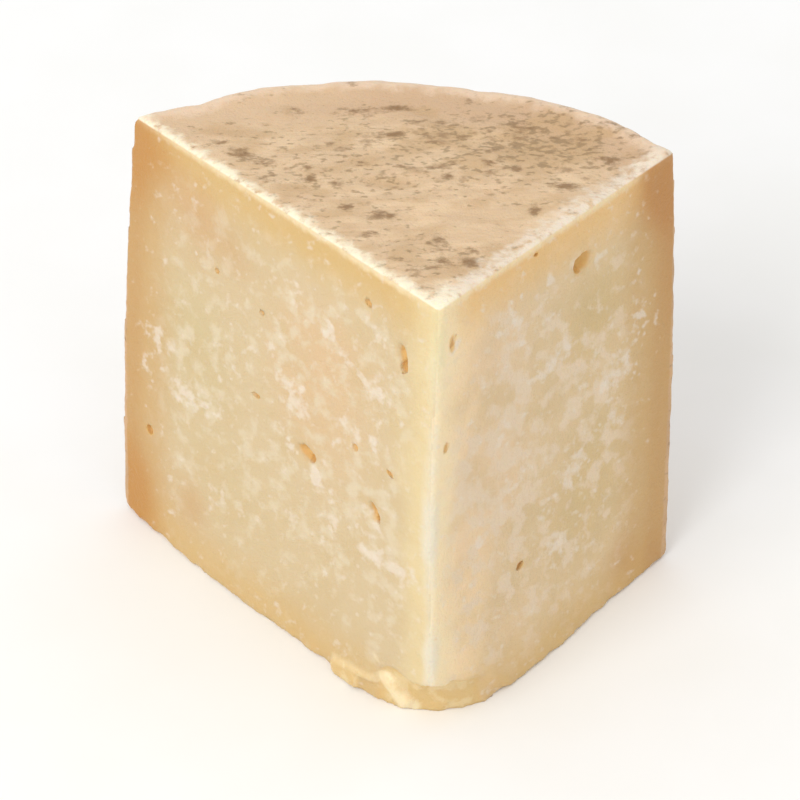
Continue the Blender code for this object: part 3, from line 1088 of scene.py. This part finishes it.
        cloud = faces(self.cloud, self.right_cloud)
        return layered(
            bench,
            faces(self.heart, self.right_heart),
            [
                (overlap(bench, self.right_only, self.gold_zone), self.right_gold),
                (self.rosy_zone, faces(self.rosy, self.right_rosy)),
                (self.green_zone, faces(self.green, self.right_green)),
                (self.marbling, self.marble),
                (overlap(bench, self.left_only, self.clouds), cloud),
                (overlap(bench, self.right_only, self.right_clouds), cloud),
                (self.shade_zone, self.shade),
                (self.top_zone, faces(self.gold, self.right_top)),
                (self.base_zone, self.gold),
                (self.rim_zone, self.rim),
                (self.wiped_zone, self.wiped),
                (self.corner_zone, faces(self.corner, self.right_corner)),
                # Painted glow by the front edge, where light would shine through the thin paste.
                (overlap(bench, self.left_only, self.painted_glow_zone), self.painted_glow),
                (overlap(bench, self.right_only, self.right_painted_glow_zone), self.right_painted_glow),
                (self.flakes, self.fleck),
                (self.flecks, self.fleck),
                (self.dots, self.fleck),
                (self.stripe, layered(bench, self.edge, [(self.high_stripe, self.high_edge)])),
                # Amber round the openings, partly a painted glow of scattered light.
                (overlap(bench, self.unbroken, self.amber), self.opening),
                # Painted shade, in part: the broken foot turned golden, as its self-shadowed break.
                (self.broken_ground_with_painted_shade, self.foot),
                (overlap(bench, self.broken, self.chips), self.chip),
                # Painted highlight, in part: the flakes paler where their ridges catch the light.
                (bench.read(Map.PALE), self.flake),
                # Painted glow: the amber deepens with depth inside the openings.
                (overlap(bench, self.unbroken, self.hollow), self.opening),
            ],
        )


@dataclass(frozen=True)
class RindFinish:
    """Natural rind, rubbed with oil and brushed while it aged.

    It is tan, pinkish on the rim, with olive-brown blotches of old mould that the brush drew out
    sideways, and cream where the wire cut it and dragged paste over its edge. The rim is also painted
    lighter, as a sheen where its rounding catches light from behind. The round rind is plainer
    and darker, with a brown patina.
    """

    tan: str = "#DABB95"
    peach: str = "#E6C8A2"
    band: str = "#CDAB88"
    dusk: str = "#C5A276"
    # The rim: pinkish, and lighter as a painted sheen where the rounded rim catches light from behind.
    rim: str = "#E9CEB2"
    flank: str = "#C79E6F"
    patina: str = "#B18A5F"
    stain: str = "#8E6C45"
    blotch: str = "#987651"
    speck: str = "#80643C"
    cream: str = "#FAEFD3"
    right_cream: str = "#ECDDC8"

    # What the brush and the mould left, drawn out sideways.
    peach_patches: Pattern = Pattern((9.0, 4.0, 4.0), 0.4, 0.65, 0.8, detail=3.0, shift=3.0)
    streaks: Pattern = Pattern((14.0, 0.7, 0.9), 0.5, 0.75, 0.3, shift=7.0)
    smears: Pattern = Pattern(
        (10.0, 6.0, 6.0), 0.47, 0.70, 0.6, detail=3.0, shift=43.0, follows=Map.BLOTCH, gain=0.12
    )
    drops: Flecks = Flecks((2.9, 2.1, 2.1), 0.54, 0.48, 0.58, 0.0, 0.6, 0.44, Map.BLOTCH, 0.30)
    blotches: Flecks = Flecks((5.4, 3.6, 3.6), 0.44, 0.50, 0.70, 0.0, 1.1, 0.46, Map.BLOTCH, 0.30)
    specks: Pattern = Pattern(
        (2.2, 1.4, 1.4), 0.58, 0.74, 0.55, shift=51.0, follows=Map.BLOTCH, gain=0.12
    )
    stains: Pattern = Pattern(
        (2.4, 1.5, 1.6), 0.60, 0.98, 0.9, 0.0, 4.0, 0.65, 23.0, follows=Map.STAIN, gain=0.45
    )

    # Where the top is rosier or browner, the darker band next to the round rind, and the rim over it,
    # pinkish and painted lighter as a sheen where its rounding catches light from behind.
    rosy_zone: Band = Band(Map.WARMTH, 0.9, 0.2, 0.45, fade=Fade.EVEN)
    dusk_zone: Band = Band(Map.BLOTCH, 1.2, 0.5, 0.6, fade=Fade.EVEN)
    band_zone: Band = Band(Map.SIDE, 11.0, 22.0, 0.85, 1.0)
    rim_zone: Band = Band(Map.SIDE, 3.2, 6.6, 0.85, 1.4, 3.0)

    # The round rind, from just under the top down.
    below_top: Band = Band(Map.TOP, 6.5, 0.5, 1.0, 1.8, 8.0)
    outside: Band = Band(Map.SIDE, 1.5, 4.0, 0.85)
    patina_patches: Pattern = Pattern((22.0, 22.0, 14.0), 0.40, 0.66, 0.7, detail=4.0, shift=91.0)

    # Paste that the wire dragged over the top's edge, worn through in places.
    on_top: Band = Band(Map.TOP, 2.0, 6.0)
    scuffs: Pattern = Pattern((2.4, 2.4, 2.4), 0.28, 0.52, detail=4.0, roughness=0.55, shift=83.0)
    right_border: Band = Band(Map.RIGHT_CUT, 1.2, 6.8, 0.95, 2.4, 2.6)
    left_border: Band = Band(Map.LEFT_CUT, 0.7, 4.0, 0.95, 1.5, 2.6)
    front_border: Band = Band(Map.EDGE, 3.0, 11.0, 0.95, 1.6, 2.6)

    def colour(self, bench: Bench) -> object:
        """Builds the colour of the rind.

        Args:
            bench: The material's tree.

        Returns:
            A colour socket.
        """
        dragged = overlap(bench, self.scuffs, self.on_top)
        flank = layered(bench, self.flank, [(self.patina_patches, self.patina)])
        return layered(
            bench,
            self.tan,
            [
                (self.peach_patches, self.peach),
                (self.streaks, self.band),
                (self.band_zone, self.band),
                (self.rosy_zone, self.peach),
                (self.dusk_zone, self.dusk),
                (self.smears, self.dusk),
                # Painted sheen over the rim's own pink, where its rounding catches light from behind.
                (self.rim_zone, self.rim),
                (overlap(bench, self.below_top, self.outside), flank),
                (self.drops, self.blotch),
                (self.blotches, self.blotch),
                (self.specks, self.speck),
                (self.stains, self.stain),
                (overlap(bench, self.right_border, dragged), self.right_cream),
                (overlap(bench, self.left_border, dragged), self.cream),
                (overlap(bench, self.front_border, dragged), self.cream),
            ],
        )


@dataclass(frozen=True)
class CheeseMaterial:
    """Aged sheep cheese: paste and natural rind in one material, parted by the stored map.

    Both are softly matt, with a little light scattered under the surface. Crumbs too fine for the mesh
    are bump only.
    """

    name: str = "aged_sheep_cheese_wire_cut"
    paste: PasteFinish = PasteFinish()
    rind: RindFinish = RindFinish()
    seam: Band = Band(Map.PASTE, 0.35, -0.35)
    crumbs: Pattern = Pattern((0.9, 0.9, 0.9), 0.0, 1.0, detail=4.0, roughness=0.6)
    crumb_height: float = 0.35
    crumb_strength: float = 0.6
    roughness: float = 0.55
    ior: float = 1.45
    scatter: float = 0.22
    scatter_depth: float = 3.0
    scatter_reach: tuple[float, float, float] = (1.0, 0.6, 0.3)

    def build(self) -> bpy.types.Material:
        """Builds the material.

        Returns:
            The finished material.
        """
        bench = Bench(self.name)
        colour = layered(bench, self.rind.colour(bench), [(self.seam, self.paste.colour(bench))])
        bump = bench.add(
            "ShaderNodeBump",
            {
                "Height": self.crumbs.mask(bench),
                "Strength": self.crumb_strength,
                "Distance": self.crumb_height * MM,
            },
        )
        shader = bench.add(
            "ShaderNodeBsdfPrincipled",
            {
                "Base Color": colour,
                "Roughness": self.roughness,
                "IOR": self.ior,
                "Normal": bump.outputs[0],
                "Subsurface Weight": self.scatter,
                "Subsurface Radius": self.scatter_reach,
                "Subsurface Scale": self.scatter_depth * MM,
            },
        )
        bench.add("ShaderNodeOutputMaterial", {"Surface": shader.outputs[0]})
        return bench.material


# --------------------------------------------------------------------------- the chunk


@dataclass(frozen=True)
class RindScan:
    """How the waves of the round rind are read off the mesh, well away from its rims.

    The angles run round the wheel's axis from +Y, in degrees: the first, the end and the step. Each
    takes the median of the points within a window to either side that lie near the even arc.
    """

    angles: tuple[float, float, float] = (-40.0, 56.0, 1.0)
    window: float = 0.9
    heights: tuple[float, float] = (20.0, 100.0)
    reach: float = 4.0

    def flatten(self, inside: np.ndarray, angle: np.ndarray, height: np.ndarray) -> np.ndarray:
        """Takes the rind's own waves out of distances from an even arc.

        Args:
            inside: How far in from the even arc each point lies.
            angle: Each point's angle round the wheel.
            height: Its height.

        Returns:
            How far in from the waved rind each point lies.
        """
        low, high = self.heights
        near = (height > low) & (height < high) & (np.abs(inside) < self.reach)
        middles = np.arange(*self.angles)
        found = [inside[near & (np.abs(angle - middle) < self.window)] for middle in middles]
        known = np.array([values.size > 0 for values in found])
        waves = [np.median(values) for values in found if values.size]
        return inside - np.interp(angle, middles[known], waves)


@dataclass
class CheeseChunk:
    """The whole chunk of cheese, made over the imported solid."""

    node: str = "cheese_chunk"
    name: str = "cheese_chunk_dressed"
    voxel: float = 0.84
    weld: float = 0.01
    wheel: Wheel = Wheel()
    scan: RindScan = RindScan()
    material: CheeseMaterial = CheeseMaterial()

    # Paste begins where a normal leans more to a cut face than to the rind, and inside an opening this
    # deep under the rind, or less by base_rind over the base.
    cut_lean: Rise = Rise(-0.12, 0.12)
    paste_depth: Rise = Rise(2.4, 3.2)
    base_rind: float = 1.0

    # The broken foot ends at this height and this far from the front edge. It lies deeper than the
    # faces, or bulges out of the left one. foot_weight makes it paste down to the base.
    foot_height: Rise = Rise(16.0, 19.0)
    foot_reach: Rise = Rise(34.0, 38.0)
    foot_depth: Rise = Rise(0.5, 1.2)
    foot_bulge: Rise = Rise(0.5, 0.9)
    foot_weight: float = 9.0

    # The relief of the foot and of the hem over the base, which both leave the base flat.
    foot_start: Rise = Rise(0.2, 1.0)
    hem_height: Rise = Rise(0.5, 5.0)
    hem_start: float = 0.05

    # Where a point faces down enough to lie on the base, where the top's blotches end, and where paste
    # next to the round rind has fewer flecks, by rind_curd.
    facing_down: Rise = Rise(0.6, 0.9)
    under_top: Rise = Rise(4.0, 9.0)
    under_rind: Rise = Rise(4.0, 12.0)
    rind_curd: float = 0.26

    def build(self) -> bpy.types.Object:
        """Models and dresses the chunk.

        Returns:
            The finished piece, riding on the frame.
        """
        chunk = self.copy_solid()
        self.add_flakes(chunk)
        apply_modifier(chunk, "REMESH", mode="VOXEL", voxel_size=self.voxel * MM)
        apply_modifier(chunk, "SMOOTH", factor=0.5, iterations=2)
        self.open_pits(chunk)
        self.mark_zones(chunk)
        for relief in RELIEFS:
            relief.press(chunk)
        self.hold_in_box(chunk)
        self.store_maps(chunk)
        chunk.data.materials.clear()
        chunk.data.materials.append(self.material.build())
        select_only(chunk)
        bpy.ops.object.shade_smooth()
        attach(chunk, "root")
        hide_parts(self.node)
        return chunk

    def copy_solid(self) -> bpy.types.Object:
        """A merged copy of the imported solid, as a piece of its own.

        Returns:
            The copy, not dressed yet.
        """
        solid = frame["nodes"][self.node]
        chunk = bpy.data.objects.new(self.name, solid.data.copy())
        chunk.data.name = self.name
        bpy.context.scene.collection.objects.link(chunk)
        select_only(chunk)
        bpy.ops.object.mode_set(mode="EDIT")
        bpy.ops.mesh.select_all(action="SELECT")
        bpy.ops.mesh.remove_doubles(threshold=self.weld * MM)
        bpy.ops.object.mode_set(mode="OBJECT")
        return chunk

    def open_pits(self, chunk: bpy.types.Object) -> None:
        """Cuts the small openings out of the faces.

        Args:
            chunk: The chunk's piece.
        """
        cutters = bpy.data.collections.new("pits")
        for number, pit in enumerate(PITS, start=1):
            cutters.objects.link(pit.cutter(self.wheel, f"pit_{number:02d}"))
        apply_modifier(
            chunk,
            "BOOLEAN",
            operation="DIFFERENCE",
            solver="MANIFOLD",
            operand_type="COLLECTION",
            collection=cutters,
        )
        for lump in list(cutters.objects):
            mesh = lump.data
            bpy.data.objects.remove(lump)
            bpy.data.meshes.remove(mesh)
        bpy.data.collections.remove(cutters)

    def add_flakes(self, chunk: bpy.types.Object) -> None:
        """Adds the flakes of the broken foot, which the voxels then fuse with the rest.

        Args:
            chunk: The chunk's piece.
        """
        flakes = [flake.build(f"flake_{number}") for number, flake in enumerate(FLAKES, start=1)]
        select_only(chunk)
        for flake in flakes:
            flake.select_set(True)
        bpy.ops.object.join()

    def positions(self, chunk: bpy.types.Object) -> tuple[np.ndarray, np.ndarray]:
        """Each point's position in millimetres, and its normal.

        Args:
            chunk: The chunk's piece.

        Returns:
            The positions and the normals.
        """
        count = len(chunk.data.vertices)
        points, normals = np.empty(count * 3), np.empty(count * 3)
        chunk.data.vertices.foreach_get("co", points)
        chunk.data.vertices.foreach_get("normal", normals)
        return points.reshape(-1, 3) / MM, normals.reshape(-1, 3)

    def paste_share(self, points: np.ndarray, normals: np.ndarray) -> np.ndarray:
        """How far each point lies on paste, from 0 on the rind to 1.

        Args:
            points: Positions in millimetres.
            normals: Their normals.

        Returns:
            The share of paste for each point.
        """
        faces = [CUTS[side].measure(self.wheel, points)[3] for side in Side]
        towards_cut = np.max([(normals[:, :2] * outward).sum(1) for outward in faces], axis=0)
        arm = points[:, :2] - np.array(self.wheel.centre)
        reach = np.linalg.norm(arm, axis=1)
        towards_side = (normals[:, :2] * arm).sum(1) / np.maximum(reach, 1.0)
        towards_rind = np.max([towards_side, normals[:, 2], -normals[:, 2]], axis=0)
        share = self.cut_lean.of(towards_cut - towards_rind)
        under_top = self.wheel.top_height(points) - points[:, 2]
        over_base = points[:, 2] + self.base_rind
        inside = np.min([under_top, self.from_outline(points), over_base], axis=0)
        return np.maximum(share, self.paste_depth.of(inside))

    def from_outline(self, points: np.ndarray) -> np.ndarray:
        """How far in from the round rind each point lies, with the rind's own waves.

        Args:
            points: Positions in millimetres.

        Returns:
            The distance of each point, in millimetres.
        """
        arm = points[:, :2] - np.array(self.wheel.centre)
        reach = np.linalg.norm(arm, axis=1)
        angle = np.degrees(np.arctan2(arm[:, 0], arm[:, 1]))
        ends = []
        for side in Side:
            corner = CUTS[side].corner(self.wheel, self.wheel.level(points)) - np.array(self.wheel.centre)
            turned = np.degrees(np.arctan2(corner[:, 0], corner[:, 1]))
            ends.append((turned, np.linalg.norm(corner, axis=1)))
        (start, left_radius), (end, right_radius) = ends
        share = np.clip((angle - start) / (end - start), 0.0, 1.0)
        inside = left_radius + (right_radius - left_radius) * share - reach
        return self.scan.flatten(inside, angle, points[:, 2])

    def foot_share(self, points: np.ndarray) -> np.ndarray:
        """How far each point lies on the broken foot, from 0 on the faces that the wire left to 1.

        Args:
            points: Positions in millimetres.

        Returns:
            The share of the foot for each point.
        """
        from_left, from_right = (CUTS[side].measure(self.wheel, points)[1] for side in Side)
        low = 1.0 - self.foot_height.of(points[:, 2])
        apart = np.linalg.norm(points[:, :2] - np.array(self.wheel.tip), axis=1)
        near = 1.0 - self.foot_reach.of(apart)
        broken = self.foot_depth.of(np.minimum(from_left, from_right))
        return np.maximum(broken, self.foot_bulge.of(-from_left)) * low * near

    def mark_zones(self, chunk: bpy.types.Object) -> None:
        """Makes the vertex groups that hold each kind of relief to its surface.

        Args:
            chunk: The chunk's piece.
        """
        points, normals = self.positions(chunk)
        share = self.paste_share(points, normals)
        foot = self.foot_share(points) * self.foot_start.of(points[:, 2])
        hem = 1.0 - self.hem_height.of(points[:, 2])
        for zone, weights in (
            (Zone.PASTE, share),
            (Zone.RIND, 1.0 - share),
            (Zone.FOOT, foot),
            (Zone.HEM, hem * (points[:, 2] > self.hem_start)),
        ):
            group = chunk.vertex_groups.new(name=zone.value)
            for index, weight in enumerate(weights):
                if weight > 0.0:
                    group.add([index], float(weight), "REPLACE")

    def hold_in_box(self, chunk: bpy.types.Object) -> None:
        """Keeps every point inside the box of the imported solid, and the base on its plane.

        Args:
            chunk: The chunk's piece.
        """
        points, _ = self.positions(chunk)
        low, high = (np.array(corner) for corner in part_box(self.node))
        chunk.data.vertices.foreach_set("co", np.clip(points * MM, low, high).ravel())
        chunk.data.update()

    def store_maps(self, chunk: bpy.types.Object) -> None:
        """Stores the maps that the material reads.

        Args:
            chunk: The chunk's piece.
        """
        points, normals = self.positions(chunk)
        left, right = (CUTS[side].measure(self.wheel, points) for side in Side)
        on_left = left[1] < right[1]
        from_side = self.from_outline(points)
        from_top = self.wheel.top_height(points) - points[:, 2]
        foot = self.foot_share(points) * (1.0 - self.facing_down.of(-normals[:, 2]))
        from_rind = np.min([from_side, from_top, points[:, 2]], axis=0)
        on_top = 1.0 - self.under_top.of(from_top)
        near_rind = 1.0 - self.under_rind.of(from_side)
        along = {Side.LEFT: left[0], Side.RIGHT: right[0]}
        facing = {Side.LEFT: on_left, Side.RIGHT: ~on_left}

        def gather(patches: tuple[Patch, ...]) -> np.ndarray:
            """Sums patches, each on its own face only."""
            return sum(patch.weigh(along[patch.side], points) * facing[patch.side] for patch in patches)

        maps = {
            Map.PASTE: from_rind - np.minimum(left[1], right[1]) + self.foot_weight * foot,
            Map.FRONT: np.where(on_left, -left[0], right[0]),
            Map.EDGE: np.abs(np.where(on_left, left[0], right[0])),
            Map.SIDE: from_side,
            Map.TOP: from_top,
            Map.BASE: points[:, 2],
            Map.LEFT_CUT: left[1],
            Map.RIGHT_CUT: right[1],
            Map.HOLLOW: np.minimum(left[1], right[1]),
            Map.FOOT: foot,
            Map.PALE: np.max([flake.weigh(points) for flake in FLAKES], axis=0),
            Map.CURD: gather(CURD_PATCHES) - self.rind_curd * near_rind,
            Map.WARMTH: gather(WARMTH_PATCHES),
            Map.TOAST: gather(TOAST_PATCHES),
            Map.MOTTLE: gather(MOTTLE_PATCHES),
            Map.BLOTCH: on_top * sum(spot.weigh(points) for spot in BLOTCH_SPOTS),
            Map.STAIN: on_top * sum(spot.weigh(points) for spot in STAIN_SPOTS),
            Map.AMBER: gather(AMBER_PATCHES),
        }
        for what, values in maps.items():
            stored = chunk.data.attributes.new(what.value, "FLOAT", "POINT")
            stored.data.foreach_set("value", np.asarray(values, np.float32))


# --------------------------------------------------------------------------- the studio


@dataclass(frozen=True)
class Studio:
    """A plain pale floor, soft light from all round and a large soft light at the front left."""

    floor_width: float = 6.0
    floor_colour: str = "#F6F6F4"
    floor_bloom: str = "#F8F8F7"
    floor_clouds: Pattern = Pattern((40.0, 40.0, 40.0), 0.3, 0.7)
    floor_roughness: float = 0.9
    sky: float = 0.85
    sky_colour: str = "#FFFFFF"
    key_watts: float = 26.0
    key_place: tuple[float, float, float] = (-1.1, -1.5, 1.7)
    key_width: float = 1.3

    def build(self, aim: Vector) -> bpy.types.Object:
        """Builds the floor and the lights.

        Args:
            aim: What the lights point at.

        Returns:
            The floor.
        """
        bpy.ops.object.select_all(action="DESELECT")
        bpy.ops.mesh.primitive_plane_add(size=self.floor_width)
        floor = bpy.context.object
        floor.name = "studio_floor"
        bench = Bench("matte_white_studio_board")
        tone = layered(bench, self.floor_colour, [(self.floor_clouds, self.floor_bloom)])
        surface = {"Base Color": tone, "Roughness": self.floor_roughness}
        shader = bench.add("ShaderNodeBsdfPrincipled", surface)
        bench.add("ShaderNodeOutputMaterial", {"Surface": shader.outputs[0]})
        floor.data.materials.append(bench.material)

        world = bpy.data.worlds.new("soft_white_surround")
        bpy.context.scene.world = world
        world.use_nodes = True
        backdrop = world.node_tree.nodes["Background"]
        backdrop.inputs["Color"].default_value = linear(self.sky_colour)
        backdrop.inputs["Strength"].default_value = self.sky

        lamp = bpy.data.lights.new("key_softbox", "AREA")
        lamp.size = self.key_width
        lamp.energy = self.key_watts
        softbox = bpy.data.objects.new("key_softbox", lamp)
        bpy.context.scene.collection.objects.link(softbox)
        softbox.location = self.key_place
        softbox.rotation_euler = (aim - softbox.location).to_track_quat("-Z", "Y").to_euler()
        return floor


@dataclass(frozen=True)
class Viewpoint:
    """The camera: a long lens that looks along +Y and down, rolled a little."""

    aim: tuple[float, float, float] = (0.967, -0.335, 57.195)
    distance: float = 900.0
    elevation: float = 38.3
    roll: float = 0.86
    lens: float = 182.79
    sensor: float = 36.0
    nearest: float = 50.0

    def build(self) -> bpy.types.Object:
        """Builds the camera and makes it the scene's.

        Returns:
            The camera.
        """
        data = bpy.data.cameras.new("camera")
        data.lens = self.lens
        data.sensor_width = self.sensor
        data.clip_start = self.nearest * MM
        camera = bpy.data.objects.new("camera", data)
        bpy.context.scene.collection.objects.link(camera)
        lift = math.radians(self.elevation)
        back = Vector((0.0, -math.cos(lift), math.sin(lift)))
        camera.location = (Vector(self.aim) + back * self.distance) * MM
        upright = Euler((math.radians(90.0) - lift, 0.0, 0.0)).to_matrix()
        camera.rotation_euler = (upright @ Matrix.Rotation(math.radians(self.roll), 3, "Z")).to_euler()
        bpy.context.scene.camera = camera
        return camera


def main() -> None:
    """Builds the chunk and the studio round it, and logs each piece."""
    logging.basicConfig(level=logging.INFO, format="%(name)s: %(message)s")
    bpy.context.scene.view_settings.view_transform = "Standard"
    view = Viewpoint()
    view.build()
    chunk = CheeseChunk().build()
    log.info("%s: %d faces", chunk.name, len(chunk.data.polygons))
    floor = Studio().build(Vector(view.aim) * MM)
    log.info("%s: %d faces", floor.name, len(floor.data.polygons))


if __name__ == "__main__":
    main()
